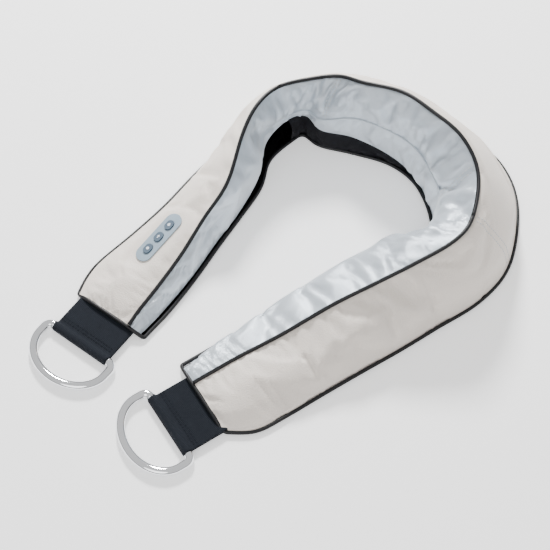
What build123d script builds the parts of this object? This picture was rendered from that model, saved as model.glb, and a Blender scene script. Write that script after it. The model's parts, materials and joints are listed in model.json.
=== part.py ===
from build123d import *
import math
import os

# Shiatsu neck massager: a U-shaped padded collar that lies flat on its base.
# X runs across the collar, +Y from the strap rings to the back of the neck, +Z up from the base.

os.makedirs("parts", exist_ok=True)

# ---------------------------------------------------------------- driving dimensions (mm)
cover_t = 2.5            # leatherette or satin with its lining
base_t = 2.5             # base cover, the face that rests on a table
foam_gap = 0.2           # foam core to cover
pipe_r = 1.7             # black piping cord
edge_h = 6.0             # height of the upright band above the base edge
centre_x = 0.5          # pattern point that becomes the part's origin
centre_y = 149.2

strap_w = 60.0           # webbing width
strap_t = 3.4            # two layers of webbing
strap_len = 39.5         # end seam to the far side of the ring loop
strap_z = 4.7            # middle of the webbing above the table
bar_r = 3.0              # ring bar
bar_fit = 0.05           # bar to webbing loop, radial
loop_wall = 1.6
ring_r = 4.0             # bow of the ring
bar_half = 31.0
bow_half = 37.3
bow_corner = 6.3
bow_side = 12.0
bow_depth = 28.4

wheel_teeth = 34
tooth_module = 1.3
worm_pitch_r = 6.0
worm_root_r = 4.6
worm_tip_r = 7.0
worm_len = 16.0
head_r = 12.0
head_orbit = 15.0
shaft_r = 3.0
head_pin_r = 2.0
running_fit = 0.05
wheel_pitch_r = wheel_teeth * tooth_module / 2
wheel_offset = wheel_pitch_r + worm_pitch_r

drive_x = 18.0 - centre_x
drive_y = 324.5 - centre_y
drive_z = 46.0
heads_y = drive_y - 20.5         # front face of the massage heads
carrier_y = drive_y - 10.0
front_plate_y = drive_y - 6.5
wheel_y = drive_y - 3.5
rear_plate_y = drive_y + 4.5
plate_t = 2.0
wheel_w = 7.0
head_w = 10.0
carrier_t = 3.0
motor_r = 11.0
motor_bottom = 5.0
motor_top = 29.5

# ---------------------------------------------------------------- collar stations
# Each station is one upright slice: inner base corner, ridge, outer base corner,
# how far the top panel swells, and how far the welt stands behind the inner base corner
# (negative where the wall leans over the neck space).
station_table = [
    ((-20, 5), (-37, 1, 12), (-97, -13), 2.5, 10),
    ((-23, 20), (-41, 17, 16.5), (-106, 3), 5.0, 10),
    ((-27, 40), (-46, 40, 21), (-112, 22), 7.0, 9),
    ((-38, 78), (-55, 75, 28), (-116, 62), 8.0, 7),
    ((-52, 118), (-67, 112, 38), (-122, 105), 8.0, 6),
    ((-63, 152), (-73, 145, 56), (-131, 145), 6.0, 3),
    ((-76, 188), (-97, 184, 73), (-138, 185), 4.0, 5),
    ((-95, 215), (-109, 212, 80), (-143, 215), 4.0, 1),
    ((-99, 246), (-112, 240, 80), (-146, 252), 4.0, -2),
    ((-97, 259), (-100, 268, 80), (-136, 302), 3.0, -4),
    ((-78, 262), (-84, 289, 82), (-105, 350), 2.0, -4),
    ((-52, 279), (-57, 294, 93), (-66, 372), 1.0, 1),
    ((-20, 297), (-22, 308, 101), (-24, 379), 1.0, -5),
    ((10, 301), (12, 312, 102), (14, 383), 1.0, -5),
    ((38, 292), (48, 313, 100), (56, 381), 1.0, -4),
    ((60, 277), (81, 301, 92), (97, 358), 2.0, 1),
    ((66, 262), (108, 268, 86), (137, 306), 3.0, -2),
    ((62, 226), (114, 240, 83), (147, 258), 4.0, -6),
    ((57, 200), (104, 203, 72), (141, 207), 4.0, -5),
    ((48, 174), (92, 171, 60), (136, 168), 7.0, -3),
    ((36, 135), (79, 135, 48), (129, 125), 9.0, 1),
    ((29, 92), (66, 90, 32), (123, 85), 9.0, 1),
    ((24, 50), (55, 50, 24), (118, 50), 7.0, 2),
    ((21, 28), (49, 27, 18), (112, 22), 5.0, 4),
    ((19, 13), (44, 9.2, 12), (95, 1), 2.5, 6),
]
left_joint, right_joint = 6, 18
joint_gap_outer = 1.0
joint_gap_inner = 6.5
welt_share = 0.6        # height of the welt on the inner wall, as a share of the ridge's height


def placed_station(row):
    base, ridge, outer, top_swell, wall_lean = row
    return (
        Vector(base[0] - centre_x, base[1] - centre_y, 0),
        Vector(ridge[0] - centre_x, ridge[1] - centre_y, ridge[2] - pipe_r),
        Vector(outer[0] - centre_x, outer[1] - centre_y, 0),
        top_swell,
        wall_lean,
    )


stations = [placed_station(row) for row in station_table]


def stepped_back(station, towards):
    """The arm's first slice, set back from the neck's last one by a wedge that opens inwards."""
    base, ridge, outer, top_swell, wall_lean = station
    inner_step = (towards[0] - base).normalized() * joint_gap_inner
    outer_step = (towards[2] - outer).normalized() * joint_gap_outer
    ridge_share = (ridge - outer).length / (base - outer).length
    ridge_step = outer_step + (inner_step - outer_step) * min(ridge_share, 1.0)
    return base + inner_step, ridge + ridge_step, outer + outer_step, top_swell, wall_lean


neck_stations = stations[left_joint:right_joint + 1]
left_first = stepped_back(stations[left_joint], stations[left_joint - 1])
right_first = stepped_back(stations[right_joint], stations[right_joint + 1])
left_stations = [left_first] + stations[left_joint - 1::-1]
right_stations = [right_first] + stations[right_joint + 1:]


# ---------------------------------------------------------------- slices, strips and cords
def slice_plane(station):
    base, ridge, outer = station[:3]
    return Plane(origin=base, x_dir=outer - base, z_dir=(outer - base).cross(ridge - base))


def slice_chain(station):
    """Open outline of one slice in its own plane, from the inner base over the ridge to the outer base."""
    base, ridge, outer, top_swell, wall_lean = station
    plane = slice_plane(station)
    rise = 1 / plane.y_dir.Z
    ridge_uv = plane.to_local_coords(ridge)
    start = 2 * pipe_r + 0.1
    width = (outer - base).length - start
    low, band = base_t * rise, edge_h * rise
    ridge_u, ridge_v = ridge_uv.X, ridge_uv.Y
    welt_v = band + (ridge_v - band) * welt_share
    welt_u = start + wall_lean
    slope = math.atan2(ridge_v - band, width - ridge_u)
    crown_u = (ridge_u + width) / 2 + top_swell * math.sin(slope)
    crown_v = (ridge_v + band) / 2 + top_swell * math.cos(slope)
    return [
        (start, low),
        (start, band),
        (welt_u, welt_v),
        (ridge_u, ridge_v),
        (crown_u, crown_v),
        (width, band),
        (width, low),
    ]


def inset(chain, depth):
    """The same outline moved inwards by depth, with mitred corners."""
    normals = []
    for (u0, v0), (u1, v1) in zip(chain, chain[1:]):
        span = math.hypot(u1 - u0, v1 - v0)
        normals.append(((v1 - v0) / span, (u0 - u1) / span))
    moved = [(chain[0][0] + normals[0][0] * depth, chain[0][1])]
    for corner, before, after in zip(chain[1:-1], normals, normals[1:]):
        scale = depth / (1 + before[0] * after[0] + before[1] * after[1])
        moved.append((corner[0] + (before[0] + after[0]) * scale, corner[1] + (before[1] + after[1]) * scale))
    moved.append((chain[-1][0] + normals[-1][0] * depth, chain[-1][1]))
    return moved


def cover_strip(run, first, last):
    """A sewn panel between two corners of the slices, one cover thick."""
    with BuildPart() as strip:
        for station in run:
            outside = slice_chain(station)
            inside = inset(outside, cover_t)
            loop = outside[first:last + 1] + inside[first:last + 1][::-1]
            with BuildSketch(slice_plane(station)):
                with BuildLine():
                    Polyline(*loop, close=True)
                make_face()
        loft(ruled=True)
    return strip


def foam_core(run):
    """Solid foam inside the covers."""
    with BuildPart() as core:
        for station in run:
            loop = inset(slice_chain(station), cover_t + foam_gap)
            lift = foam_gap / slice_plane(station).y_dir.Z
            loop[0] = (loop[0][0], loop[0][1] + lift)
            loop[-1] = (loop[-1][0], loop[-1][1] + lift)
            with BuildSketch(slice_plane(station)):
                with BuildLine():
                    Polyline(*loop, close=True)
                make_face()
        loft(ruled=True)
    return core


def base_panel(run):
    """Flat base cover between the inner and outer base corners."""
    inner_edge = []
    outer_edge = []
    for station in run:
        plane = slice_plane(station)
        chain = slice_chain(station)
        inner_edge.append(plane.from_local_coords((chain[0][0] + foam_gap, 0)))
        outer_edge.append(plane.from_local_coords((chain[-1][0], 0)))
    outline = [(point.X, point.Y) for point in inner_edge + outer_edge[::-1]]
    with BuildPart() as panel:
        with BuildSketch():
            with BuildLine():
                Polyline(*outline, close=True)
            make_face()
        extrude(amount=base_t)
    return panel


def cord_run(run, corner):
    """Piping cord along one corner of the slices, lying just outside the covers."""
    with BuildPart() as cord:
        for station in run:
            chain = slice_chain(station)
            plane = slice_plane(station)
            away = pipe_r + 0.1
            middle = {
                "inner": (chain[0][0] - away, (pipe_r + 0.7) / plane.y_dir.Z),
                "ridge": (chain[3][0], chain[3][1] + away),
                "outer": (chain[-1][0] + away, (pipe_r + 0.7) / plane.y_dir.Z),
            }[corner]
            with BuildSketch(slice_plane(station)):
                with Locations(middle):
                    RegularPolygon(radius=pipe_r, side_count=8)
        loft(ruled=True)
    return cord


# ---------------------------------------------------------------- control pod on the left arm
pod_len, pod_w = 55.0, 16.0
pod_plane = Plane(
    origin=(-82.4 - centre_x, 72 - centre_y, 26.4),
    x_dir=(-0.15, 0.97, 0.2),
    z_dir=(-0.1, -0.2, 0.97),
)
pocket_depth = 9.0
button_len, button_w = 10.0, 7.0
button_pitch = 14.5
button_travel = 1.0
button_fit = 0.3
pocket_fit = 0.5

# ---------------------------------------------------------------- dc inlet on the back wall
inlet_plane = Plane(origin=(-82 - centre_x, 340.6 - centre_y, 31.0), z_dir=(-0.40, 0.72, 0.565))
inlet_r = 4.5
inlet_flange_r = 6.5
inlet_depth = 12.0
inlet_bore_r = 2.8
inlet_pin_r = 1.0

# ---------------------------------------------------------------- neck section
neck_outer_cover = cover_strip(neck_stations, 3, 6)
neck_satin_panel = cover_strip(neck_stations, 2, 3)
neck_lining = cover_strip(neck_stations, 0, 2)
neck_base_cover = base_panel(neck_stations)
neck_foam = foam_core(neck_stations)
neck_ridge_piping = cord_run(neck_stations, "ridge")
neck_outer_piping = cord_run(neck_stations, "outer")
neck_inner_piping = cord_run(neck_stations, "inner")

with neck_outer_cover:
    with Locations(inlet_plane):
        Cylinder(inlet_r + 0.2, 3 * inlet_depth, mode=Mode.SUBTRACT)

# drive cavity, board cavity and inlet pocket in the foam
with neck_foam:
    with Locations((drive_x, drive_y - 6.2, 39)):
        Box(113, 29.6, 71, mode=Mode.SUBTRACT)
    with Locations((drive_x, drive_y + 19, 17.5)):
        Box(64, 30, 28, mode=Mode.SUBTRACT)
    with Locations(inlet_plane):
        Cylinder(inlet_r + 0.2, 3 * inlet_depth, mode=Mode.SUBTRACT)

with BuildPart(inlet_plane) as dc_socket:
    Cylinder(inlet_flange_r, 1.2, align=(Align.CENTER, Align.CENTER, Align.MIN))
    Cylinder(inlet_r, inlet_depth, align=(Align.CENTER, Align.CENTER, Align.MAX))
    with Locations((0, 0, 1.2)):
        Cylinder(inlet_bore_r, 10, align=(Align.CENTER, Align.CENTER, Align.MAX), mode=Mode.SUBTRACT)
    with Locations((0, 0, 0.4)):
        Cylinder(inlet_pin_r, 10, align=(Align.CENTER, Align.CENTER, Align.MAX))

# ---------------------------------------------------------------- massage drive
# Work planes facing along +Y: local x is +X, local y is +Z through Plane.XZ, whose normal is -Y.
def wall(y):
    return Plane(origin=(0, y, 0), x_dir=(1, 0, 0), z_dir=(0, -1, 0))


wheel_x = {"left": drive_x - wheel_offset, "right": drive_x + wheel_offset}
post_spots = [(drive_x - 46, 28), (drive_x + 46, 28), (drive_x - 7, 63), (drive_x + 7, 63)]
plate_outline = [
    (drive_x - 50, 24),
    (drive_x - 14, 24),
    (drive_x - 14, 32),
    (drive_x - 8.5, 32),
    (drive_x - 8.5, 55.4),
    (drive_x + 8.5, 55.4),
    (drive_x + 8.5, 32),
    (drive_x + 14, 32),
    (drive_x + 14, 24),
    (drive_x + 50, 24),
    (drive_x + 50, 36),
    (drive_x + 34, 56),
    (drive_x + 12, 56),
    (drive_x + 12, 67),
    (drive_x - 12, 67),
    (drive_x - 12, 56),
    (drive_x - 38, 56),
    (drive_x - 50, 46),
]
post_r = 2.2
screw_r = 1.2
bush_r = 5.0


def housing_plate(y, bore):
    with BuildPart() as plate:
        with BuildSketch(wall(y + plate_t)):
            with BuildLine():
                Polyline(*plate_outline, close=True)
            make_face()
            with Locations((wheel_x["left"], drive_z), (wheel_x["right"], drive_z)):
                Circle(bore, mode=Mode.SUBTRACT)
            with Locations(*post_spots):
                Circle(screw_r, mode=Mode.SUBTRACT)
        extrude(amount=plate_t)
        fillet(plate.edges().filter_by(Axis.Y).group_by(Axis.Z)[-1], 3)
    return plate


front_plate = housing_plate(front_plate_y, bush_r)
rear_plate = housing_plate(rear_plate_y, shaft_r + running_fit)

with BuildPart() as carrier_bushes:
    with BuildSketch(wall(front_plate_y + plate_t)):
        with Locations((wheel_x["left"], drive_z), (wheel_x["right"], drive_z)):
            Circle(bush_r)
            Circle(shaft_r + running_fit, mode=Mode.SUBTRACT)
    extrude(amount=plate_t)

with BuildPart() as plate_spacers:
    with BuildSketch(wall(rear_plate_y)):
        with Locations(*post_spots):
            Circle(post_r)
            Circle(screw_r, mode=Mode.SUBTRACT)
    extrude(amount=rear_plate_y - front_plate_y - plate_t)

with BuildPart() as plate_screws:
    with BuildSketch(wall(rear_plate_y + plate_t)):
        with Locations(*post_spots):
            Circle(screw_r)
    extrude(amount=rear_plate_y + plate_t - front_plate_y)
    with BuildSketch(wall(rear_plate_y + plate_t + 1.4)):
        with Locations(*post_spots):
            Circle(post_r)
            RegularPolygon(radius=0.9, side_count=6, mode=Mode.SUBTRACT)
    extrude(amount=1.4)

with BuildPart(Plane.XY.offset(motor_bottom)) as motor:
    with Locations((drive_x, drive_y)):
        Cylinder(motor_r, motor_top - motor_bottom, align=(Align.CENTER, Align.CENTER, Align.MIN))
    chamfer(motor.edges().filter_by(GeomType.CIRCLE), 1)
    with Locations((drive_x - 6, drive_y, -0.5), (drive_x + 6, drive_y, -0.5)):
        Box(3, 0.8, 1.2)

motor_plate_z = motor_top + 0.1
with BuildPart(Plane.XY.offset(motor_plate_z)) as motor_plate:
    with BuildSketch(Plane.XY.offset(motor_plate_z)):
        with Locations((drive_x, drive_y)):
            Rectangle(18, rear_plate_y - front_plate_y - plate_t)
            Circle(3.5, mode=Mode.SUBTRACT)
    extrude(amount=1.8)

worm_z = drive_z - worm_len / 2
bearing_z = 56.0
with BuildPart() as worm_bearing:
    with BuildSketch(Plane.XY.offset(bearing_z)):
        with Locations((drive_x, drive_y)):
            Rectangle(9, rear_plate_y - front_plate_y - plate_t)
            Circle(1.5 + running_fit, mode=Mode.SUBTRACT)
    extrude(amount=4)

# The thread stands opposite the right wheel's gap at mid height, at angle 0 round the worm.
worm_lead = math.pi * tooth_module
thread_h = worm_tip_r - worm_root_r
thread_profile = [(-0.3, -0.9), (thread_h, -0.4), (thread_h, 0.4), (-0.3, 0.9)]
with BuildPart() as worm:
    with Locations((drive_x, drive_y, worm_z)):
        Cylinder(worm_root_r, worm_len, align=(Align.CENTER, Align.CENTER, Align.MIN))
    with Locations((drive_x, drive_y, motor_top + 0.2)):
        Cylinder(1.5, bearing_z + 3.5 - motor_top, align=(Align.CENTER, Align.CENTER, Align.MIN))
    turns = 3
    thread_start = drive_z - worm_lead * turns / 2
    with BuildLine(Plane((drive_x, drive_y, thread_start), x_dir=(-1, 0, 0), z_dir=(0, 0, 1))) as thread_line:
        Helix(pitch=worm_lead, height=worm_lead * turns, radius=worm_root_r)
    with BuildSketch(Plane((drive_x - worm_root_r, drive_y, thread_start), x_dir=(-1, 0, 0), z_dir=(0, -1, 0))):
        with BuildLine():
            Polyline(*thread_profile, close=True)
        make_face()
    sweep(path=thread_line.wires()[0], is_frenet=True)


def drive_wheel(side):
    """Worm wheel; the right one shows a gap to the worm, the left one a tooth."""
    first_tooth = {"left": 0.0, "right": 180.0 + 180.0 / wheel_teeth}[side]
    with BuildPart() as wheel:
        with BuildSketch(wall(wheel_y + wheel_w)):
            with Locations((wheel_x[side], drive_z)):
                Circle(wheel_pitch_r - 1.4)
                with PolarLocations(wheel_pitch_r - 1.6, wheel_teeth, start_angle=first_tooth):
                    with Locations((0.0, 0.0)):
                        Polygon((0, -1.0), (2.6, -0.4), (2.6, 0.4), (0, 1.0), align=None)
        extrude(amount=wheel_w)
        for face_y, side_sign in ((wheel_y, 1), (wheel_y + wheel_w, -1)):
            with BuildSketch(wall(face_y if side_sign < 0 else face_y + 2)):
                with Locations((wheel_x[side], drive_z)):
                    Circle(18)
                    Circle(6.5, mode=Mode.SUBTRACT)
            extrude(amount=2, mode=Mode.SUBTRACT)
        with BuildSketch(wall(wheel_y + wheel_w)):
            with Locations((wheel_x[side], drive_z)):
                Circle(shaft_r)
        extrude(amount=wheel_w, mode=Mode.SUBTRACT)
    return wheel


def head_carrier(side):
    """Rocker bar with its shaft through the wheel and two pins for the massage heads."""
    centre = (wheel_x[side], drive_z)
    ends = [(centre[0] - head_orbit, drive_z), (centre[0] + head_orbit, drive_z)]
    with BuildPart() as carrier:
        with BuildSketch(wall(carrier_y + carrier_t)):
            with Locations(centre):
                SlotCenterToCenter(2 * head_orbit, 11)
        extrude(amount=carrier_t)
        with BuildSketch(wall(rear_plate_y + plate_t)):
            with Locations(centre):
                Circle(shaft_r)
        extrude(amount=rear_plate_y + plate_t - carrier_y - 1)
        with BuildSketch(wall(carrier_y)):
            with Locations(*ends):
                Circle(head_pin_r)
        extrude(amount=head_w - 1)
    return carrier


def massage_head(x):
    """Domed kneading head, free to turn on its pin."""
    profile_plane = Plane(origin=(x, heads_y + head_w, drive_z), x_dir=(1, 0, 0), z_dir=(0, 0, 1))
    with BuildPart() as head:
        with BuildSketch(profile_plane):
            with BuildLine():
                Line((0, 0), (head_r - 1, 0))
                Line((head_r - 1, 0), (head_r, -1))
                Line((head_r, -1), (head_r, -3))
                Spline((head_r, -3), (head_r * 0.66, -8), (0, -head_w), tangents=((0, -1), (-1, 0)))
                Line((0, -head_w), (0, 0))
            make_face()
        revolve(axis=Axis((x, heads_y, drive_z), (0, 1, 0)))
        with BuildSketch(wall(heads_y + head_w)):
            with Locations((x, drive_z)):
                Circle(head_pin_r + running_fit)
        extrude(amount=head_w - 0.8, mode=Mode.SUBTRACT)
    return head


wheels = {}
carriers = {}
heads = {}
for side in ("left", "right"):
    wheels[side] = drive_wheel(side)
    carriers[side] = head_carrier(side)
    heads[side, "outer"] = massage_head(wheel_x[side] + (head_orbit if side == "right" else -head_orbit))
    heads[side, "inner"] = massage_head(wheel_x[side] - (head_orbit if side == "right" else -head_orbit))

# warming lamps between the two pairs of heads
lamp_spots = [(drive_x - 3, 67), (drive_x + 3, 67)]
with BuildPart() as lamp_board:
    with BuildSketch(wall(carrier_y + 3)):
        with Locations((drive_x, 67)):
            Rectangle(12, 10)
    extrude(amount=1.6)

with BuildPart() as warming_lamps:
    with BuildSketch(wall(carrier_y + 1.4)):
        with Locations(*lamp_spots):
            Circle(1.5)
    extrude(amount=4)
    fillet(warming_lamps.faces().sort_by(Axis.Y)[:2].edges(), 1.2)

with BuildPart() as power_board:
    with BuildSketch(Plane.XY.offset(6)):
        with Locations((drive_x, drive_y + 22.5)):
            Rectangle(60, 20)
            with GridLocations(54, 16, 2, 2):
                Circle(1.3, mode=Mode.SUBTRACT)
    extrude(amount=1.6)

with BuildPart() as board_parts:
    with BuildSketch(Plane.XY.offset(7.6)):
        with Locations((drive_x - 12, drive_y + 22.5)):
            Rectangle(10, 10)
    extrude(amount=1.5)
    with BuildSketch(Plane.XY.offset(7.6)):
        with Locations((drive_x + 8, drive_y + 26), (drive_x + 8, drive_y + 18)):
            Circle(3)
    extrude(amount=8)
    with BuildSketch(Plane.XY.offset(7.6)):
        with Locations((drive_x + 21, drive_y + 22)):
            Rectangle(8, 12)
    extrude(amount=6)

# ---------------------------------------------------------------- arms
arm_parts = {}
for side, run in (("left", left_stations), ("right", right_stations)):
    arm_parts[side, "outer_cover"] = cover_strip(run, 3, 6)
    arm_parts[side, "satin_panel"] = cover_strip(run, 0, 3)
    arm_parts[side, "base_cover"] = base_panel(run)
    arm_parts[side, "foam"] = foam_core(run)
    arm_parts[side, "ridge_piping"] = cord_run(run, "ridge")
    arm_parts[side, "outer_piping"] = cord_run(run, "outer")
    arm_parts[side, "inner_piping"] = cord_run(run, "inner")

# pocket for the control pod, through the left cover and into its foam
with BuildPart() as pod_pocket:
    with BuildSketch(pod_plane.offset(-pocket_depth)):
        SlotOverall(pod_len + 2 * pocket_fit, pod_w + 2 * pocket_fit)
    extrude(amount=3 * pocket_depth)

for name in ("outer_cover", "foam"):
    with arm_parts["left", name]:
        add(pod_pocket.part, mode=Mode.SUBTRACT)

end_cord_r = 0.9
end_cord_z = 8.6
for side, run in (("left", left_stations), ("right", right_stations)):
    inner_corner, _, outer_corner = run[-1][:3]
    along = (outer_corner - inner_corner).normalized()
    outward = Vector(along.Y, -along.X, 0) * (1 if side == "right" else -1)
    start = inner_corner + along * 4 + outward * (end_cord_r + 0.1) + Vector(0, 0, end_cord_z)
    with BuildPart() as end_piping:
        with BuildSketch(Plane(origin=start, z_dir=along)):
            Circle(end_cord_r)
        extrude(amount=(outer_corner - inner_corner).length - 8)
    arm_parts[side, "end_piping"] = end_piping

button_spots = {"power_button": -button_pitch, "direction_button": 0.0, "heat_button": button_pitch}
with BuildPart() as control_bezel:
    with BuildSketch(pod_plane.offset(-5)):
        SlotOverall(pod_len, pod_w)
    extrude(amount=7)
    with BuildSketch(pod_plane.offset(-5)):
        with Locations(*[(spot, 0) for spot in button_spots.values()]):
            SlotOverall(button_len + 2 * button_fit, button_w + 2 * button_fit)
    extrude(amount=7, mode=Mode.SUBTRACT)

with BuildPart() as control_board:
    with BuildSketch(pod_plane.offset(-8)):
        SlotOverall(pod_len - 4, pod_w - 3)
    extrude(amount=1.4)

buttons = {}
for name, spot in button_spots.items():
    with BuildPart() as button:
        with BuildSketch(pod_plane.offset(-5)):
            with Locations((spot, 0)):
                SlotOverall(button_len, button_w)
        extrude(amount=8.2)
    buttons[name] = button

# ---------------------------------------------------------------- straps and rings
strap_frames = {
    "left": ((-51.8 - centre_x, -44.5 - centre_y), (0.225, -0.974)),
    "right": ((58.4 - centre_x, -34.2 - centre_y), (-0.139, -0.990)),
}
strap_pivot = 2.5        # fold line, measured from the arm's end seam
bar_spot = strap_len - bar_r - bar_fit - loop_wall


def strap_plane(side):
    """Origin at the end seam, x out towards the ring, y up; the normal runs across the webbing."""
    (edge_x, edge_y), (out_x, out_y) = strap_frames[side]
    start = (edge_x - out_x * strap_len, edge_y - out_y * strap_len, strap_z)
    return Plane(origin=start, x_dir=(out_x, out_y, 0), z_dir=(out_y, -out_x, 0))


def webbing_strap(side):
    loop_r = bar_r + bar_fit + loop_wall
    with BuildPart() as strap:
        with BuildSketch(strap_plane(side).offset(-strap_w / 2)):
            with Locations((strap_pivot, 0)):
                Circle(strap_t / 2)
            with Locations(((strap_pivot + bar_spot) / 2, 0)):
                Rectangle(bar_spot - strap_pivot, strap_t)
            with Locations((bar_spot, 0)):
                Circle(loop_r)
                Circle(bar_r + bar_fit, mode=Mode.SUBTRACT)
        extrude(amount=strap_w)
    return strap


def d_ring(side):
    """Round-wire ring: a straight bar through the webbing loop and a bow for the hand."""
    plane = strap_plane(side)
    across, out = plane.z_dir, plane.x_dir
    flat = Plane(origin=plane.from_local_coords((bar_spot, 0, 0)), x_dir=across, z_dir=across.cross(out))
    with BuildPart() as ring:
        with BuildLine(flat) as bow:
            CenterArc((bar_half, bow_corner), bow_corner, -90, 90)
            Line((bow_half, bow_corner), (bow_half, bow_side))
            EllipticalCenterArc((0, bow_side), bow_half, bow_depth, start_angle=0, arc_size=180)
            Line((-bow_half, bow_side), (-bow_half, bow_corner))
            CenterArc((-bar_half, bow_corner), bow_corner, 180, 90)
        with BuildSketch(Plane(origin=flat.from_local_coords((bar_half, 0, 0)), z_dir=flat.x_dir)):
            Circle(ring_r)
        sweep(path=bow.wires()[0])
        with BuildSketch(Plane(origin=flat.from_local_coords((-bar_half, 0, 0)), z_dir=flat.x_dir)):
            Circle(bar_r)
        extrude(amount=2 * bar_half)
    return ring


straps = {side: webbing_strap(side) for side in ("left", "right")}
rings = {side: d_ring(side) for side in ("left", "right")}

# ---------------------------------------------------------------- write the parts
pieces = {
    "neck_outer_cover": neck_outer_cover,
    "neck_satin_panel": neck_satin_panel,
    "neck_lining": neck_lining,
    "neck_base_cover": neck_base_cover,
    "neck_foam": neck_foam,
    "neck_ridge_piping": neck_ridge_piping,
    "neck_outer_piping": neck_outer_piping,
    "neck_inner_piping": neck_inner_piping,
    "dc_socket": dc_socket,
    "front_plate": front_plate,
    "rear_plate": rear_plate,
    "carrier_bushes": carrier_bushes,
    "plate_spacers": plate_spacers,
    "plate_screws": plate_screws,
    "motor": motor,
    "motor_plate": motor_plate,
    "worm_bearing": worm_bearing,
    "worm": worm,
    "lamp_board": lamp_board,
    "warming_lamps": warming_lamps,
    "power_board": power_board,
    "board_parts": board_parts,
    "control_bezel": control_bezel,
    "control_board": control_board,
}
for side in ("left", "right"):
    pieces[f"{side}_wheel"] = wheels[side]
    pieces[f"{side}_carrier"] = carriers[side]
    pieces[f"{side}_outer_head"] = heads[side, "outer"]
    pieces[f"{side}_inner_head"] = heads[side, "inner"]
    pieces[f"{side}_strap"] = straps[side]
    pieces[f"{side}_ring"] = rings[side]
for (side, name), piece in arm_parts.items():
    pieces[f"{side}_arm_{name}"] = piece
for name, button in buttons.items():
    pieces[name] = button

for name, piece in pieces.items():
    piece.part.label = name
    export_step(piece.part, f"parts/{name}.step")
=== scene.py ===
import json
import math

import bpy
import numpy as np
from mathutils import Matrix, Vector, noise


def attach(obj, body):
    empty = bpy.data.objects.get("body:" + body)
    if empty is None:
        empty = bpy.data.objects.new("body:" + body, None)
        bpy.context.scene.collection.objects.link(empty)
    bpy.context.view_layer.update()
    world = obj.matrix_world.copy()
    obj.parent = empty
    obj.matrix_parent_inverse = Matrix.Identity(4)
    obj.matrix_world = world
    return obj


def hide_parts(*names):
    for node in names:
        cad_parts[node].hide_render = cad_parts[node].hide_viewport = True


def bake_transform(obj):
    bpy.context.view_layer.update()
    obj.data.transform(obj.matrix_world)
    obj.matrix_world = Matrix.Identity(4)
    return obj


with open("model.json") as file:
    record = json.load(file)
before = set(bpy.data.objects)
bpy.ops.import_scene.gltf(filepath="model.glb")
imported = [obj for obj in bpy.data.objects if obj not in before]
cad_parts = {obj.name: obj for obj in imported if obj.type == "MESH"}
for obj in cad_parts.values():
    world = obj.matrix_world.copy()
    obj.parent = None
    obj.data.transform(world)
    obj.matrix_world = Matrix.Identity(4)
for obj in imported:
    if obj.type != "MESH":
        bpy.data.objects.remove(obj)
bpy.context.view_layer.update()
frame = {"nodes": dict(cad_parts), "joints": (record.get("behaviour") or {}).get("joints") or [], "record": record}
MM = 0.001

# ---------------------------------------------------------------- driving dimensions (mm)
CENTRE = np.array([0.5, 149.2, 0.0])        # point of the slice table at the shared frame's origin
PIPE_R = 1.8                                # piping
EDGE_H = 6.0                                # height of the upright band along the outer bottom edge
FOOT_LIFT = 0.4                             # the covers' lowest edge above the floor
WELT_SHARE = 0.53                           # the welt's height, as a share of the wall above the band
LINING_SHARE_MAX = 0.85                     # the lining's border stays below this share of the welt
BORDER_LEAN = 0.8                           # the border's lean, as a share of the welt's
COVER_T = 1.2                               # cloth thickness
STRAP_W = 60.0                              # webbing width
LOOP_R = 4.6                                # webbing loop round the ring's bar

# Each row is one slice of the collar, from the left arm's end round the neck to the right arm's end:
# inner base corner, ridge, outer base corner, swell of the top, how far the welt stands behind the
# inner base corner (negative leans over the neck space), height of the black lining on the inner wall.
SLICES = [
    ((-20, 5), (-37, 1, 12), (-97, -13), 2.5, 10, 3),
    ((-23, 20), (-41, 17, 16.5), (-106, 3), 5.0, 10, 3),
    ((-27, 40), (-46, 40, 21), (-112, 22), 7.0, 9, 4),
    ((-38, 78), (-55, 75, 28), (-116, 62), 8.0, 7, 4),
    ((-52, 118), (-67, 112, 38), (-122, 105), 8.0, 6, 5),
    ((-63, 152), (-73, 145, 56), (-131, 145), 6.0, 3, 6),
    ((-76, 188), (-97, 184, 73), (-138, 185), 4.0, 5, 14),
    ((-95, 215), (-109, 212, 80), (-143, 215), 4.0, 1, 30),
    ((-99, 246), (-112, 240, 80), (-146, 252), 4.0, -2, 40),
    ((-97, 259), (-100, 268, 80), (-136, 302), 3.0, -4, 33),
    ((-78, 262), (-84, 289, 82), (-105, 350), 2.0, -4, 27),
    ((-52, 279), (-57, 294, 93), (-66, 372), 1.0, 1, 24),
    ((-20, 297), (-22, 308, 101), (-24, 379), 1.0, -5, 15),
    ((10, 301), (12, 312, 102), (14, 383), 1.0, -5, 8),
    ((38, 292), (48, 313, 100), (56, 381), 1.0, -4, 4),
    ((60, 277), (81, 301, 92), (97, 358), 2.0, 1, 3),
    ((66, 262), (108, 268, 86), (137, 306), 3.0, -2, 3),
    ((62, 226), (114, 240, 83), (147, 258), 4.0, -6, 3),
    ((57, 200), (104, 203, 72), (141, 207), 4.0, -5, 3),
    ((48, 174), (92, 171, 60), (136, 168), 7.0, -3, 3),
    ((36, 135), (79, 135, 48), (129, 125), 9.0, 1, 3),
    ((29, 92), (66, 90, 32), (123, 85), 9.0, 1, 3),
    ((24, 50), (55, 50, 24), (118, 50), 7.0, 2, 3),
    ((21, 28), (49, 27, 18), (112, 22), 5.0, 4, 3),
    ((19, 13), (44, 9.2, 12), (95, 1), 2.5, 6, 3),
]
LAST = len(SLICES) - 1
STEPS = 12                                  # rings between two slices
LEFT_CUT, RIGHT_CUT = 8, 16                 # slices where the neck's covers meet the arms' covers
SATIN_SEAMS = (10.05, 14.8)                 # slices where two rows of stitches cross the satin
SEAM_HALF = 0.06                            # from a seam to each of its rows of stitches, in slices
SEAM_PINCH_DEPTH, SEAM_PINCH_SPREAD = 2.6, 0.1
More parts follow.
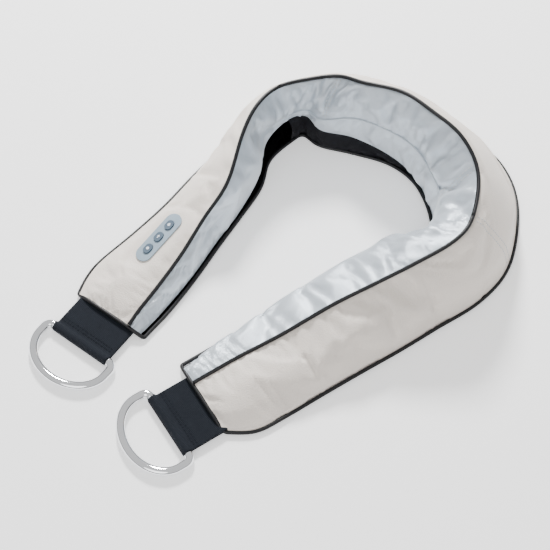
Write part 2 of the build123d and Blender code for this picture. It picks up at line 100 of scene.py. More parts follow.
WELT_HELD_TO, WELT_END = 14.6, 14.8         # slices where the welt's pins and the welt itself end
NECK_MIDDLE, NECK_SPREAD = 12.5, 4.0        # slices where the satin swells most, and how far
LINING_PUFF, LOWER_PUFF, UPPER_PUFF, NECK_PUFF = 0.5, 2.0, 3.0, 3.0
# folds as (depth in mm, slice in the middle, spread in slices), and the depth elsewhere
SATIN_FOLDS = ((2.4, 12.6, 2.8), (1.6, 16.5, 1.6), (1.4, 8.5, 1.4))
HIDE_FOLDS = ((1.1, 5.8, 0.9), (1.3, 18.6, 0.9))
SATIN_FOLD_LEAST, HIDE_FOLD_LEAST = 0.7, 0.5
LOWER_FOLD_SHARE = 0.6                      # folds below the welt against those above it
FOLD_GAIN = 1.8
# columns round a slice, region by region
LINING, LOWER, UPPER, TOP, BAND, BASE = 5, 6, 12, 24, 2, 8
AT_BORDER = LINING
AT_WELT = AT_BORDER + LOWER
AT_RIDGE = AT_WELT + UPPER
AT_BAND = AT_RIDGE + TOP
AT_FOOT = AT_BAND + BAND
COLUMNS = AT_FOOT + BASE


def unit(v):
    return v / np.linalg.norm(v)


def unit_rows(v):
    return v / np.maximum(np.linalg.norm(v, axis=1, keepdims=True), 1e-9)


def bell(s, middle, spread):
    return math.exp(-((s - middle) / spread) ** 2)


def key_points(row):
    """Inner foot, lining border, welt, ridge, crown, outer band and outer foot of one slice."""
    base = np.array([*row[0], 0.0]) - CENTRE
    ridge = np.array(row[1], float) - CENTRE - (0, 0, PIPE_R)
    outer = np.array([*row[2], 0.0]) - CENTRE
    top_swell, wall_lean, border = row[3:]
    across = unit(outer - base)
    up = unit(np.cross(np.cross(across, ridge - base), across))
    start = 2 * PIPE_R
    width = np.linalg.norm(outer - base) - start
    ridge_u, ridge_v = (ridge - base) @ across, (ridge - base) @ up
    welt_u = start + wall_lean
    welt_v = EDGE_H + (ridge_v - EDGE_H) * WELT_SHARE
    share = min(LINING_SHARE_MAX, border / welt_v)
    slope = math.atan2(ridge_v - EDGE_H, width - ridge_u)
    crown = (
        (ridge_u + width) / 2 + top_swell * math.sin(slope),
        (ridge_v + EDGE_H) / 2 + top_swell * math.cos(slope),
    )
    flat = [
        (start, FOOT_LIFT),
        (start + (welt_u - start) * share * BORDER_LEAN, FOOT_LIFT + (welt_v - FOOT_LIFT) * share),
        (welt_u, welt_v),
        (ridge_u, ridge_v),
        crown,
        (width, EDGE_H),
        (width, FOOT_LIFT),
    ]
    return np.array([base + across * u + up * v for u, v in flat])


KEYS = np.array([key_points(row) for row in SLICES])


def track(table, s):
    """Catmull-Rom interpolation of a per-slice table at slice position s."""
    i = min(int(s), LAST - 1)
    t = s - i
    p0, p1, p2, p3 = (table[min(max(k, 0), LAST)] for k in (i - 1, i, i + 1, i + 2))
    square = 2 * p0 - 5 * p1 + 4 * p2 - p3
    cube = 3 * p1 - p0 - 3 * p2 + p3
    return 0.5 * (2 * p1 + (p2 - p0) * t + square * t**2 + cube * t**3)


def bowed(a, b, count, control):
    """Points from a up to, but not at, b on a curve pulled towards the control point."""
    t = np.arange(count)[:, None] / count
    return (1 - t) ** 2 * a + 2 * t * (1 - t) * control + t**2 * b


def ring(s):
    """The points round the collar at slice position s."""
    foot, border, welt, ridge, crown, band, outer = track(KEYS, s)
    wall_out = unit(np.cross(ridge - foot, np.cross(ridge - foot, outer - foot)))
    puff = UPPER_PUFF + NECK_PUFF * bell(s, NECK_MIDDLE, NECK_SPREAD)
    parts = [
        bowed(foot, border, LINING, (foot + border) / 2 + wall_out * LINING_PUFF),
        bowed(border, welt, LOWER, (border + welt) / 2 + wall_out * LOWER_PUFF),
        bowed(welt, ridge, UPPER, (welt + ridge) / 2 + wall_out * puff),
        bowed(ridge, band, TOP, 2 * crown - (ridge + band) / 2),
        bowed(band, outer, BAND, (band + outer) / 2),
        bowed(outer, foot, BASE, (outer + foot) / 2),
    ]
    return np.vstack(parts)


RINGS = LAST * STEPS + 1
body = np.array([ring(r / STEPS) for r in range(RINGS)])       # rings x columns x 3, in mm


def grid_faces():
    faces = []
    for r in range(RINGS - 1):
        for c in range(COLUMNS):
            n = (c + 1) % COLUMNS
            near, far = r * COLUMNS, (r + 1) * COLUMNS
            faces.append((near + c, far + c, far + n, near + n))
    return faces


def new_object(name, verts, faces, smooth=True):
    mesh = bpy.data.meshes.new(name)
    mesh.from_pydata([tuple(v) for v in verts], [], [tuple(f) for f in faces])
    mesh.update()
    for polygon in mesh.polygons:
        polygon.use_smooth = smooth
    piece = bpy.data.objects.new(name, mesh)
    bpy.context.scene.collection.objects.link(piece)
    return piece


# ---------------------------------------------------------------- padding by cloth simulation
SIM_FRAMES = 24
SWELL_MAX = 6.0                             # farthest that the cloth may move, in mm
PIPING_EASE = 7                             # columns over which the swelling dies out at the band
END_RINGS_HELD = 2
WELT_HELD_BEFORE = 4                        # rings held on the arm's side of the left cut


def pin_weights():
    """Seams, base and ends are held; the panels between them may swell and wrinkle."""
    held = np.zeros((RINGS, COLUMNS))
    for column in (0, AT_BORDER, AT_RIDGE, AT_BAND, AT_FOOT):
        held[:, column] = 1
    held[:, AT_FOOT:] = 1
    held[:END_RINGS_HELD] = 1
    held[-END_RINGS_HELD:] = 1
    held[LEFT_CUT * STEPS - WELT_HELD_BEFORE:int(WELT_HELD_TO * STEPS), AT_WELT] = 1
    return held.ravel()


def inflate(points):
    """Swells the covers over their padding with pressure and a little spare cloth."""
    ends = np.array([points[0].mean(0), points[-1].mean(0)])
    verts = np.vstack([points.reshape(-1, 3), ends]) * MM
    first, last = RINGS * COLUMNS, RINGS * COLUMNS + 1
    faces = grid_faces()
    for c in range(COLUMNS):
        n = (c + 1) % COLUMNS
        faces.append((c, n, first))
        faces.append(((RINGS - 1) * COLUMNS + n, (RINGS - 1) * COLUMNS + c, last))
    pad = new_object("pad_simulation", verts, faces)
    group = pad.vertex_groups.new(name="seams")
    weights = np.append(pin_weights(), [1, 1])
    for index in np.nonzero(weights)[0]:
        group.add([int(index)], 1.0, "REPLACE")
    cloth = pad.modifiers.new("cloth", "CLOTH")
    cloth.settings.quality = 6
    cloth.settings.mass = 0.25
    cloth.settings.tension_stiffness = 12
    cloth.settings.compression_stiffness = 6
    cloth.settings.shear_stiffness = 4
    cloth.settings.bending_stiffness = 0.4
    cloth.settings.shrink_min = -0.035
    cloth.settings.use_pressure = True
    cloth.settings.uniform_pressure_force = 3.5
    cloth.settings.effector_weights.gravity = 0
    cloth.settings.vertex_group_mass = "seams"
    cloth.point_cache.frame_end = SIM_FRAMES
    for number in range(1, SIM_FRAMES + 1):
        bpy.context.scene.frame_set(number)
    shaped = pad.evaluated_get(bpy.context.evaluated_depsgraph_get())
    moved = np.empty(len(verts) * 3)
    shaped.data.vertices.foreach_get("co", moved)
    moved = moved.reshape(-1, 3)[:-2].reshape(points.shape) / MM
    bpy.data.objects.remove(pad)
    bpy.context.scene.frame_set(1)
    step = moved - points
    to_piping = np.clip((AT_BAND - np.arange(COLUMNS)) / PIPING_EASE, 0, 1)
    step[:, AT_RIDGE:AT_BAND] *= to_piping[AT_RIDGE:AT_BAND, None]
    length = np.linalg.norm(step, axis=2, keepdims=True)
    return points + step * np.minimum(1, SWELL_MAX / np.maximum(length, 1e-6))


def grid_normals(points):
    along = np.gradient(points, axis=0)
    round_ = np.roll(points, -1, axis=1) - np.roll(points, 1, axis=1)
    normals = np.cross(round_, along)
    return normals / np.maximum(np.linalg.norm(normals, axis=2, keepdims=True), 1e-9)


body = inflate(body)

normal = grid_normals(body)
if (normal[RINGS // 2, AT_RIDGE + TOP // 2] @ np.array([0, 0, 1.0])) < 0:
    normal = -normal


def fold_depth(s, least, folds):
    return least + sum(depth * bell(s, middle, spread) for depth, middle, spread in folds)


def soft_folds(points):
    """Shallow folds that run across the satin and, on the leatherette, from the ridge down."""
    seams = (0, AT_BORDER, AT_WELT, AT_RIDGE, AT_BAND)
    out = points.copy()
    for r in range(RINGS):
        s = r / STEPS
        satin = fold_depth(s, SATIN_FOLD_LEAST, SATIN_FOLDS)
        hide = fold_depth(s, HIDE_FOLD_LEAST, HIDE_FOLDS)
        pinch = SEAM_PINCH_DEPTH * sum(bell(s, seam, SEAM_PINCH_SPREAD) for seam in SATIN_SEAMS)
        for c in range(AT_FOOT):
            if c in seams:
                continue
            if c < AT_RIDGE:
                if c > AT_WELT:
                    span, low, size = UPPER, AT_WELT, satin
                else:
                    span, low, size = AT_WELT, 0, satin * LOWER_FOLD_SHARE
                fold = noise.noise(Vector((s * 2.6, c * 0.16, 3.0)))
                fold += 0.5 * noise.noise(Vector((s * 6.0, c * 0.3, 9.0)))
            else:
                span, low, size = TOP, AT_RIDGE, hide
                fold = noise.noise(Vector((s * 1.5 + c * 0.09, c * 0.12, 5.0)))
            t = min(max((c - low) / span, 0), 1)
            arch = math.sin(math.pi * t)
            rise = fold * size * FOLD_GAIN * arch ** 0.6
            if AT_WELT < c < AT_RIDGE:
                rise -= pinch * arch ** 0.5
            out[r, c] = points[r, c] + normal[r, c] * rise
    return out


body = soft_folds(body)

# ---------------------------------------------------------------- control pod seat on the left arm
POD_LEN, POD_W = 55.0, 16.0
POD_MARGIN, POD_EASE = 2, 14                # flat round the rim, then easing back into the cover
POD_SEAT = 0.6                              # the flattened cloth above the pod's own plane
pod_out = unit(np.array([-0.1, -0.2, 0.97]))
arm_run = np.array([-0.15, 0.97, 0.2])
pod_along = unit(arm_run - pod_out * (arm_run @ pod_out))
pod_side = np.cross(pod_out, pod_along)
POD_AT = np.array([-82.4, 72.0, 26.4]) - (CENTRE[0], CENTRE[1], 0)


def seat_pod(points):
    """Flattens the leatherette under the control pod's rim."""
    local = points - POD_AT
    u, v, w = local @ pod_along, local @ pod_side, local @ pod_out
    straight = np.clip(u, -(POD_LEN - POD_W) / 2, (POD_LEN - POD_W) / 2)
    away = np.hypot(u - straight, v) - POD_W / 2
    ease = np.clip(1 - (away - POD_MARGIN) / POD_EASE, 0, 1)
    ease = ease * ease * (3 - 2 * ease)
    ease[:, :AT_RIDGE + 2] = 0
    ease[:, AT_BAND:] = 0
    ease[RINGS // 2:] = 0
    return points + pod_out * ((POD_SEAT - w) * ease)[..., None]


body = seat_pod(body)
normal_after = grid_normals(body)
normal = normal_after if (normal_after * normal).sum() > 0 else -normal_after


# ---------------------------------------------------------------- materials
def node_material(name, colour, shade, roughness, metallic=0.0, mottling=60.0, bump=None, **sockets):
    """A procedural finish: two tones mixed by noise, and an optional relief (kind, scale, depth)."""
    material = bpy.data.materials.new(name)
    material.use_nodes = True
    tree = material.node_tree
    nodes, links = tree.nodes, tree.links
    shader = nodes["Principled BSDF"]
    shader.inputs["Metallic"].default_value = metallic
    shader.inputs["Roughness"].default_value = roughness
    for socket, value in sockets.items():
        shader.inputs[socket.replace("_", " ")].default_value = value
    place = nodes.new("ShaderNodeTexCoord")
    cloud = nodes.new("ShaderNodeTexNoise")
    cloud.inputs["Scale"].default_value = mottling
    cloud.inputs["Detail"].default_value = 6
    links.new(place.outputs["Object"], cloud.inputs["Vector"])
    tone = nodes.new("ShaderNodeMix")
    tone.data_type = "RGBA"
    tone.inputs["A"].default_value = (*shade, 1)
    tone.inputs["B"].default_value = (*colour, 1)
    links.new(cloud.outputs["Fac"], tone.inputs["Factor"])
    links.new(tone.outputs["Result"], shader.inputs["Base Color"])
    if bump:
        kind, scale, depth = bump
        relief = nodes.new("ShaderNodeBump")
        relief.inputs["Strength"].default_value = 1.0
        relief.inputs["Distance"].default_value = depth
        if kind == "grain":
            cells = nodes.new("ShaderNodeTexVoronoi")
            cells.feature = "F1"
            cells.inputs["Scale"].default_value = scale
            links.new(place.outputs["Object"], cells.inputs["Vector"])
            links.new(cells.outputs["Distance"], relief.inputs["Height"])
        elif kind == "weave":
            rows = [nodes.new("ShaderNodeTexWave") for _ in range(2)]
            weave = nodes.new("ShaderNodeMath")
            weave.operation = "MAXIMUM"
            for index, (wave, axis) in enumerate(zip(rows, ("X", "Y"))):
                wave.bands_direction = axis
                wave.inputs["Scale"].default_value = scale
                wave.inputs["Distortion"].default_value = 0.4
                links.new(place.outputs["Object"], wave.inputs["Vector"])
                links.new(wave.outputs["Fac"], weave.inputs[index])
            links.new(weave.outputs["Value"], relief.inputs["Height"])
        else:
            fine = nodes.new("ShaderNodeTexNoise")
            fine.inputs["Scale"].default_value = scale
            fine.inputs["Detail"].default_value = 8
            links.new(place.outputs["Object"], fine.inputs["Vector"])
            links.new(fine.outputs["Fac"], relief.inputs["Height"])
        links.new(relief.outputs["Normal"], shader.inputs["Normal"])
    return material


FINISHES = {
    "cream_leatherette": node_material(
        "cream_leatherette", (0.83, 0.76, 0.69), (0.76, 0.69, 0.62), 0.48, mottling=9,
        bump=("grain", 900, 0.00025), Specular_IOR_Level=0.35),
    "silver_satin": node_material(
        "silver_satin", (0.64, 0.70, 0.755), (0.54, 0.60, 0.665), 0.33, metallic=0.4, mottling=14,
        bump=("weave", 500, 0.00008), Sheen_Weight=0.3),
    "black_lining": node_material(
        "black_lining", (0.010, 0.010, 0.013), (0.005, 0.005, 0.007), 0.85, bump=("weave", 420, 0.0002),
        Specular_IOR_Level=0.2),
    "black_piping": node_material(
        "black_piping", (0.008, 0.008, 0.010), (0.004, 0.004, 0.005), 0.42, bump=("fine", 700, 0.0001),
        Specular_IOR_Level=0.35),
    "webbing": node_material(
        "webbing", (0.011, 0.015, 0.022), (0.006, 0.008, 0.013), 0.75, bump=("weave", 260, 0.0005),
        Specular_IOR_Level=0.2),
    "thread": node_material(
        "thread", (0.75, 0.76, 0.77), (0.6, 0.61, 0.62), 0.6, bump=("fine", 2500, 0.0001)),
    "chrome": node_material("chrome", (0.86, 0.87, 0.89), (0.80, 0.81, 0.83), 0.06, metallic=1.0, mottling=5),
    "foam": node_material("foam", (0.75, 0.72, 0.6), (0.6, 0.57, 0.45), 0.9, bump=("fine", 900, 0.0004)),
    "housing_plastic": node_material(
        "housing_plastic", (0.05, 0.05, 0.055), (0.03, 0.03, 0.035), 0.5, bump=("fine", 1500, 0.00005)),
    "white_nylon": node_material(
        "white_nylon", (0.85, 0.85, 0.8), (0.75, 0.75, 0.7), 0.45, bump=("fine", 1200, 0.00003)),
    "bearing_brass": node_material(
        "bearing_brass", (0.7, 0.5, 0.2), (0.55, 0.38, 0.14), 0.3, metallic=1.0,
        bump=("fine", 900, 0.00004)),
    "steel": node_material(
        "steel", (0.6, 0.6, 0.62), (0.45, 0.45, 0.47), 0.3, metallic=1.0, bump=("fine", 800, 0.00004)),
    "circuit_board": node_material("circuit_board", (0.03, 0.2, 0.08), (0.02, 0.13, 0.05), 0.4, mottling=300),
    "chip_black": node_material(
        "chip_black", (0.03, 0.03, 0.03), (0.015, 0.015, 0.015), 0.5, bump=("fine", 1500, 0.00003)),
    "lamp_glass": node_material("lamp_glass", (0.9, 0.15, 0.1), (0.8, 0.1, 0.06), 0.1, mottling=100),
    "head_plastic": node_material(
        "head_plastic", (0.55, 0.1, 0.1), (0.45, 0.07, 0.07), 0.25, bump=("fine", 900, 0.00003)),
    "carrier_grey": node_material(
        "carrier_grey", (0.3, 0.3, 0.32), (0.22, 0.22, 0.24), 0.5, bump=("fine", 1200, 0.00004)),
    "panel_silver": node_material(
        "panel_silver", (0.34, 0.43, 0.50), (0.25, 0.33, 0.40), 0.42, metallic=0.25, mottling=90,
        bump=("fine", 1500, 0.00003)),
    "button_blue": node_material(
        "button_blue", (0.10, 0.15, 0.20), (0.06, 0.09, 0.13), 0.42, mottling=90,
        bump=("fine", 1500, 0.00003)),
    "icon_light": node_material("icon_light", (0.75, 0.8, 0.85), (0.6, 0.66, 0.72), 0.4),
}
for row in frame["record"]["subparts"]:
    cad = frame["nodes"][row["node"]]
    cad.data.materials.clear()
    cad.data.materials.append(FINISHES[row["material_slot"]])


def finish_piece(piece, slot, *nodes, look=None):
    piece.data.materials.append(FINISHES[look or slot])
    if nodes:
        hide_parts(*nodes)
    return piece


# ---------------------------------------------------------------- covers
def cover_piece(name, ring_span, column_span):
    """One sewn panel, with the thickness of its cloth turned inwards."""
    r0, r1 = ring_span
    c0, c1 = column_span
    columns = [c % COLUMNS for c in range(c0, c1 + 1)]
    top = body[r0:r1 + 1][:, columns]
    out = normal[r0:r1 + 1][:, columns]
    rows, cols = top.shape[:2]
    count = rows * cols
    verts = np.vstack([top.reshape(-1, 3), (top - out * COVER_T).reshape(-1, 3)]) * MM
    faces = []
    for r in range(rows - 1):
        for c in range(cols - 1):
            a, b, d, e = r * cols + c, r * cols + c + 1, (r + 1) * cols + c, (r + 1) * cols + c + 1
            faces.append((a, b, e, d))
            faces.append((a + count, d + count, e + count, b + count))
    rim = [r * cols for r in range(rows)] + [(rows - 1) * cols + c for c in range(1, cols)]
    rim += [r * cols + cols - 1 for r in range(rows - 2, -1, -1)] + [c for c in range(cols - 2, 0, -1)]
    for a, b in zip(rim, rim[1:] + rim[:1]):
        faces.append((a, b, b + count, a + count))
    piece = new_object(name, verts, faces)
    mesh = piece.data
    if not facing(mesh, out):
        mesh.flip_normals()
    flat_out = out.reshape(-1, 3)
    normals = []
    panel_faces = 2 * (rows - 1) * (cols - 1)
    for polygon in mesh.polygons:
        for vertex in polygon.vertices:
            if polygon.index >= panel_faces:
                normals.append(tuple(polygon.normal))
            elif vertex < count:
                normals.append(tuple(flat_out[vertex]))
            else:
                normals.append(tuple(-flat_out[vertex - count]))
    mesh.normals_split_custom_set(normals)
    return piece


def facing(mesh, out):
    return Vector(mesh.polygons[0].normal).dot(Vector(out.reshape(-1, 3)[0])) > 0


LEFT_RING, RIGHT_RING = LEFT_CUT * STEPS, RIGHT_CUT * STEPS
SPANS = {"left_arm": (0, LEFT_RING), "neck": (LEFT_RING, RIGHT_RING), "right_arm": (RIGHT_RING, RINGS - 1)}
PANELS = {
    "lining": ((0, AT_BORDER), "black_lining"),
    "satin": ((AT_BORDER, AT_RIDGE), "silver_satin"),
    "leatherette": ((AT_RIDGE, AT_FOOT), "cream_leatherette"),
    "underside": ((AT_FOOT, COLUMNS), "black_lining"),
}
HIDDEN = {
    ("neck", "lining"): ["neck_lining"],
    ("neck", "satin"): ["neck_satin_panel"],
    ("neck", "leatherette"): ["neck_outer_cover", "neck_foam"],
    ("neck", "underside"): ["neck_base_cover"],
}
for arm in ("left_arm", "right_arm"):
    HIDDEN[arm, "satin"] = [f"{arm}_satin_panel"]
    HIDDEN[arm, "leatherette"] = [f"{arm}_outer_cover", f"{arm}_foam"]
    HIDDEN[arm, "underside"] = [f"{arm}_base_cover"]


def carried(piece, section):
    """The neck's pieces ride on it; an arm's pieces have their placement baked into their meshes."""
    if section == "neck":
        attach(piece, "neck")
    else:
        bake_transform(piece)


for section, span in SPANS.items():
    for panel, (columns, slot) in PANELS.items():
        piece = cover_piece(f"{section}_{panel}_cover", span, columns)
        finish_piece(piece, slot, *HIDDEN.get((section, panel), []))
        carried(piece, section)


# ---------------------------------------------------------------- cords, seams and stitches
RIDGE_LIFT = 0.9                            # the ridge cord's middle above the seam
FOOT_CORD_LIFT = 1.2                        # the bottom cords hang this far off the floor
WELT_R, WELT_LIFT = 1.1, 0.4
END_REACH, END_RISE = 1.2, 6.0              # how far the piping bulges out and up across an arm's end
END_POINTS = 17
STITCH_SIDES, STITCH_R, STITCH_LIFT = 6, 0.4, 0.25
# a stitch's outline as (place along it, share of its radius)
STITCH_SHAPE = ((0.0, 0.35), (0.2, 1.0), (0.8, 1.0), (1.0, 0.35))


def tube(name, path, radius, sides=10):
    """A round cord along a list of points in mm, closed at both ends."""
    path = np.array(path)
    tangent = np.gradient(path, axis=0)
    verts, faces = [], []
    side = unit(np.cross(tangent[0], (0, 0, 1.0)))
    for point, direction in zip(path, tangent):
        direction = unit(direction)
        side = unit(side - direction * (side @ direction))
        other = np.cross(direction, side)
        for k in range(sides):
            angle = 2 * math.pi * k / sides
            verts.append((point + radius * (math.cos(angle) * side + math.sin(angle) * other)) * MM)
    for r in range(len(path) - 1):
        for k in range(sides):
            n = (k + 1) % sides
            faces.append((r * sides + k, r * sides + n, (r + 1) * sides + n, (r + 1) * sides + k))
    faces.append(tuple(range(sides))[::-1])
    faces.append(tuple((len(path) - 1) * sides + k for k in range(sides)))
    return new_object(name, verts, faces)


def smoothed(points, passes=3):
    points = np.array(points, float)
    for _ in range(passes):
        points[1:-1] = (points[:-2] + 2 * points[1:-1] + points[2:]) / 4
    return points


ridge_line = smoothed(body[:, AT_RIDGE] + np.array([0, 0, 1.0]) * RIDGE_LIFT)


def foot_line(column, neighbour):
    """The piping beside a bottom edge, just outside the covers."""
    across = body[:, column] - body[:, neighbour]
    across[:, 2] = 0
    line = body[:, column] + unit_rows(across) * PIPE_R
    line[:, 2] = PIPE_R + FOOT_CORD_LIFT
    return smoothed(line)


outer_line = foot_line(AT_FOOT, 0)
inner_line = foot_line(0, AT_FOOT)


def end_turn(first, second, out):
    """The piping's path across an arm's end, from one bottom edge up over the end seam to the other."""
    points = []
    for t in np.linspace(0, 1, END_POINTS)[1:-1]:
        rise = math.sin(math.pi * min(1, 4 * min(t, 1 - t)) / 2)
        bulge = out * END_REACH * rise + np.array([0, 0, END_RISE * rise])
        points.append(first * (1 - t) + second * t + bulge)
    return points


ARM_ENDS = {"left_arm": (0, slice(0, LEFT_RING + 1)), "right_arm": (RINGS - 1, slice(RIGHT_RING, RINGS))}
for section, (end, rings) in ARM_ENDS.items():
    outwards = unit((body[end] - body[end + (3 if end == 0 else -3)]).mean(0) * (1, 1, 0))
    order = 1 if end else -1
    turn = end_turn(outer_line[end], inner_line[end], outwards)
    path = list(outer_line[rings][::order]) + turn + list(inner_line[rings][::-order])
    piping = tube(f"{section}_edge_piping", smoothed(path, 2), PIPE_R)
    finish_piece(piping, "black_piping", *[f"{section}_{k}_piping" for k in ("outer", "inner", "end")])
    carried(piping, section)
    ridge = tube(f"{section}_ridge_cord", ridge_line[rings], PIPE_R)
    finish_piece(ridge, "black_piping", f"{section}_ridge_piping")
    carried(ridge, section)
    cap = [*body[end], body[end].mean(0) + outwards * 1.0]
    faces = [(c, (c + 1) % COLUMNS, COLUMNS) for c in range(COLUMNS)]
    if end:
        faces = [face[::-1] for face in faces]
    seam = new_object(f"{section}_end_panel", np.array(cap) * MM, faces)
    finish_piece(seam, "black_lining")
    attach(seam, section)

neck_rings = slice(LEFT_RING, RIGHT_RING + 1)
for kind, line in (("ridge", ridge_line), ("outer", outer_line), ("inner", inner_line)):
    piping = tube(f"neck_{kind}_cord", line[neck_rings], PIPE_R)
    finish_piece(piping, "black_piping", f"neck_{kind}_piping")
    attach(piping, "neck")

welt_rings = slice(LEFT_RING, int(WELT_END * STEPS))
welt_line = body[welt_rings, AT_WELT] + normal[welt_rings, AT_WELT] * WELT_LIFT
welt = tube("neck_welt", smoothed(welt_line), WELT_R)
finish_piece(welt, "silver_satin")
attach(welt, "neck")


def between(field, row, column):
    """A grid's value at a place between its rings and columns."""
    i, j = int(row), int(column)
    a, b = row - i, column - j
    i2, j2 = min(i + 1, RINGS - 1), (j + 1) % COLUMNS
    near = field[i, j] * (1 - b) + field[i, j2] * b
    far = field[i2, j] * (1 - b) + field[i2, j2] * b
    return near * (1 - a) + far * a


def surface_point(s, column):
    """A point on the collar at slice position s, lifted off the cloth."""
    return between(body, s * STEPS, column) + between(normal, s * STEPS, column) * STITCH_LIFT


def stitch_row(start, end, count):
    """Pairs of points, one for each stitch, between two (slice, column) places."""
    pairs = []
    for k in range(count):
        ends = []
        for t in ((k + 0.15) / count, (k + 0.8) / count):
            s = start[0] + (end[0] - start[0]) * t
            column = start[1] + (end[1] - start[1]) * t
            ends.append(surface_point(s, column))
        pairs.append(ends)
    return pairs


def stitches(name, pairs, radius=STITCH_R):
    """One mesh of short threads with tapered ends, one for each pair of points."""
    verts, faces = [], []
    sides = STITCH_SIDES
    for a, b in pairs:
        direction = unit(b - a)
        side = unit(np.cross(direction, (0.3, 0.2, 1.0)))
        other = np.cross(direction, side)
        first = len(verts)
        for t, share in STITCH_SHAPE:
            for k in range(sides):
                angle = 2 * math.pi * k / sides
                spoke = math.cos(angle) * side + math.sin(angle) * other
                verts.append((a + (b - a) * t + radius * share * spoke) * MM)
        last = first + (len(STITCH_SHAPE) - 1) * sides
        for near in range(first, last, sides):
            far = near + sides
            for k in range(sides):
                n = (k + 1) % sides
                faces.append((near + k, near + n, far + n, far + k))
        faces.append(tuple(first + k for k in range(sides))[::-1])
        faces.append(tuple(last + k for k in range(sides)))
    return new_object(name, verts, faces)


seam_pairs = []
for s in (seam + shift for seam in SATIN_SEAMS for shift in (-SEAM_HALF, SEAM_HALF)):
    seam_pairs += stitch_row((s, AT_RIDGE - 0.5), (s, AT_WELT + 0.8), 12)
for s in (RIGHT_CUT - SEAM_HALF, RIGHT_CUT + SEAM_HALF):
    seam_pairs += stitch_row((s, AT_RIDGE + 1), (s, AT_BAND), 24)
seam_thread = stitches("neck_seam_stitches", seam_pairs)
finish_piece(seam_thread, "silver_satin", look="thread")
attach(seam_thread, "neck")

# ---------------------------------------------------------------- webbing straps
TUCK = 9                                    # webbing hidden in the arm, behind the fold line
LAP = 5                                     # from the ring's bar back to where the layers meet
TOP_LAYER, TOP_BOW, UNDER_LAYER = 1.0, 0.25, -1.0
WEB_HALF_T = 0.75
LOOP_OVERLAP = 0.9                          # angle by which the loop runs past a half turn, each way
THREAD_ROWS = (8.0, 11.0)                   # rows of stitches, measured back from the ring's bar
THREAD_PITCH, THREAD_LEN, THREAD_R, THREAD_Z = 3.0, 2.0, 0.3, 2.15
THREAD_COUNT = 19


def strap_axes(side):
    """Fold line, ring bar, the way across and the way out of a strap, read from its joints."""
    joints = {joint["name"]: joint for joint in frame["joints"]}
    fold = np.array(joints[f"{side}_strap_fold"]["pos_m"]) / MM
    bar = np.array(joints[f"{side}_ring_swing"]["pos_m"]) / MM
    across = np.array(joints[f"{side}_strap_fold"]["axis"], float)
    return fold, bar, across, unit((bar - fold) * (1, 1, 0))


def strap_profile(fold, bar, out):
    """Side view of the folded webbing as (distance along out from the fold line, height)."""
    reach = np.linalg.norm((bar - fold) * (1, 1, 0))
    loop = LOOP_R - 0.8
    run = reach - LAP + TUCK
    shares = np.linspace(0, 1, 14)
    angles = np.linspace(-LOOP_OVERLAP, math.pi + LOOP_OVERLAP, 19)
    top = [(-TUCK + run * t, TOP_LAYER + TOP_BOW * math.sin(math.pi * t)) for t in shares]
    turn = [(reach + loop * math.sin(a), loop * math.cos(a)) for a in angles]
    under = [(reach - LAP - run * t, UNDER_LAYER) for t in shares]
    return top + turn + under


def webbing(side):
    """One folded strap with its selvedges, and the thread that closes its loop."""
    fold, bar, across, out = strap_axes(side)
    line = np.array(strap_profile(fold, bar, out))
    tangent = unit_rows(np.gradient(line, axis=0))
    normal_2d = np.stack([-tangent[:, 1], tangent[:, 0]], 1)
    loop = np.vstack([line + normal_2d * WEB_HALF_T, (line - normal_2d * WEB_HALF_T)[::-1]])
    lateral = [-1, -0.985, -0.94, -0.9] + list(np.linspace(-0.8, 0.8, 15)) + [0.9, 0.94, 0.985, 1]
    verts, faces = [], []
    centre = np.vstack([line, line[::-1]])
    for share in lateral:
        thin = 0.45 if abs(share) > 0.99 else (0.8 if abs(share) > 0.97 else 1.0)
        rib = 1.12 if 0.92 < abs(share) < 0.97 else 1.0
        for spot, mid in zip(loop, centre):
            place = mid + (spot - mid) * thin * rib
            sideways = across * share * STRAP_W / 2
            verts.append((fold + out * place[0] + sideways + np.array([0, 0, place[1]])) * MM)
    count = len(loop)
    for r in range(len(lateral) - 1):
        for k in range(count):
            n = (k + 1) % count
            near, far = r * count, (r + 1) * count
            faces.append((near + k, near + n, far + n, far + k))
    last = (len(lateral) - 1) * count
    for edge in (0, last):
        for k in range(len(line) - 1):
            quad = (edge + k, edge + k + 1, edge + count - 2 - k, edge + count - 1 - k)
            faces.append(quad if edge else quad[::-1])
    strap = new_object(f"{side}_webbing", verts, faces)
    finish_piece(strap, "webbing", f"{side}_strap")
    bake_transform(strap)
    pairs = []
    reach = np.linalg.norm((bar - fold) * (1, 1, 0))
    first_stitch = -THREAD_PITCH * (THREAD_COUNT - 1) / 2
    for row in THREAD_ROWS:
        for k in range(THREAD_COUNT):
            sideways = across * (first_stitch + k * THREAD_PITCH)
            a = fold + out * (reach - row) + sideways + np.array([0, 0, THREAD_Z])
            pairs.append((a, a + across * THREAD_LEN))
    thread = stitches(f"{side}_webbing_stitches", pairs, THREAD_R)
    finish_piece(thread, "webbing")
    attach(thread, f"{side}_strap")


for side in ("left", "right"):
    webbing(side)

# ---------------------------------------------------------------- generic marks on the buttons
BUTTON_PITCH = 14.5
MARK_FROM, MARK_TO = 3.1, 3.45              # heights of a mark's foot and top above the pod's plane
MARK_R = 1.5


def mark(name, body_name, along, outline):
    """A raised flat mark on a button, from an outline in the button's own plane."""
    count = len(outline)
    verts = []
    for rise in (MARK_FROM, MARK_TO):
        for u, v in outline:
            verts.append((POD_AT + pod_along * (along + u) + pod_side * v + pod_out * rise) * MM)
    faces = [tuple(range(count))[::-1], tuple(range(count, 2 * count))]
    faces += [(k, (k + 1) % count, (k + 1) % count + count, k + count) for k in range(count)]
    piece = new_object(name, verts, faces, smooth=False)
    finish_piece(piece, "button_blue", look="icon_light")
    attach(piece, body_name)


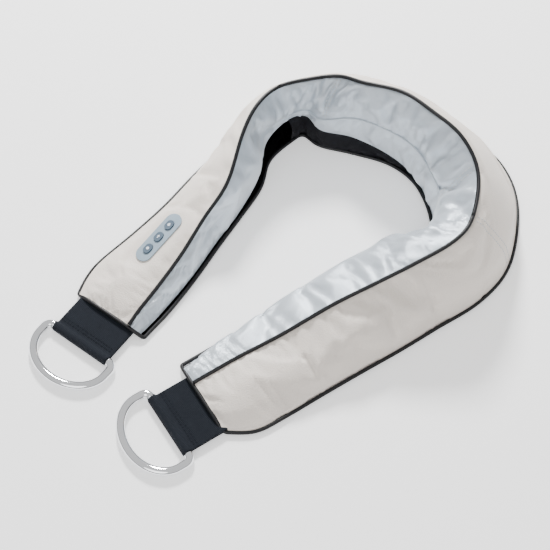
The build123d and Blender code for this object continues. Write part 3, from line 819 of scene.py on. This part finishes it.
turns = np.linspace(0, 2 * math.pi, 24, endpoint=False)
circle = [(MARK_R * math.cos(a), MARK_R * math.sin(a)) for a in turns]
arrow = [(-1.8, -0.5), (0.2, -0.5), (0.2, -1.4), (2.0, 0.0), (0.2, 1.4), (0.2, 0.5), (-1.8, 0.5)]
drop = [(-1.6, 0.0), (-0.8, -1.3), (0.4, -1.4), (1.3, -0.7), (2.0, 0.0), (1.3, 0.7), (0.4, 1.4), (-0.8, 1.3)]
mark("power_mark", "power_button", -BUTTON_PITCH, circle)
mark("direction_mark", "direction_button", 0.0, arrow)
mark("heat_mark", "heat_button", BUTTON_PITCH, drop)

# ---------------------------------------------------------------- floor, light and camera
FLOOR_HALF = 4                              # metres
corners = [(x * FLOOR_HALF, y * FLOOR_HALF, 0) for x, y in ((-1, -1), (1, -1), (1, 1), (-1, 1))]
floor = new_object("floor", corners, [(0, 1, 2, 3)], smooth=False)
floor.data.materials.append(node_material(
    "floor_paper", (0.95, 0.95, 0.95), (0.945, 0.945, 0.945), 0.9, mottling=2,
    Emission_Color=(1, 1, 1, 1), Emission_Strength=0.55))

world = bpy.data.worlds.new("studio")
bpy.context.scene.world = world
world.use_nodes = True
sky = world.node_tree.nodes
sky["Background"].inputs["Strength"].default_value = 0.85
direction = sky.new("ShaderNodeTexCoord")
height = sky.new("ShaderNodeSeparateXYZ")
shades = sky.new("ShaderNodeValToRGB")
shades.color_ramp.elements[0].position = 0.0
shades.color_ramp.elements[0].color = (0.25, 0.26, 0.28, 1)
shades.color_ramp.elements[1].position = 0.45
shades.color_ramp.elements[1].color = (1, 1, 1, 1)
world.node_tree.links.new(direction.outputs["Generated"], height.inputs["Vector"])
world.node_tree.links.new(height.outputs["Z"], shades.inputs["Fac"])
world.node_tree.links.new(shades.outputs["Color"], sky["Background"].inputs["Color"])


def softbox(name, spot, size, power):
    light = bpy.data.lights.new(name, "AREA")
    light.shape = "DISK"
    light.size = size
    light.energy = power
    holder = bpy.data.objects.new(name, light)
    holder.location = spot
    holder.rotation_euler = (Vector((0, 0, 0.03)) - Vector(spot)).to_track_quat("-Z", "Y").to_euler()
    bpy.context.scene.collection.objects.link(holder)


softbox("key_light", (-1.1, 0.75, 1.15), 0.35, 62)
softbox("fill_light", (0.6, -1.3, 1.1), 1.2, 9)

AZIMUTH, ELEVATION, DISTANCE = math.radians(49.2), math.radians(58.86), 1.0765
TARGET = Vector((0.00255, -0.0133, 0.0))
LENS = 77.39
camera_data = bpy.data.cameras.new("camera")
camera_data.lens = LENS
camera_data.sensor_width = 36
camera = bpy.data.objects.new("camera", camera_data)
bpy.context.scene.collection.objects.link(camera)
back = Vector((
    math.sin(AZIMUTH) * math.cos(ELEVATION),
    -math.cos(AZIMUTH) * math.cos(ELEVATION),
    math.sin(ELEVATION),
))
camera.location = TARGET + back * DISTANCE
camera.rotation_euler = (-back).to_track_quat("-Z", "Y").to_euler()
bpy.context.scene.camera = camera
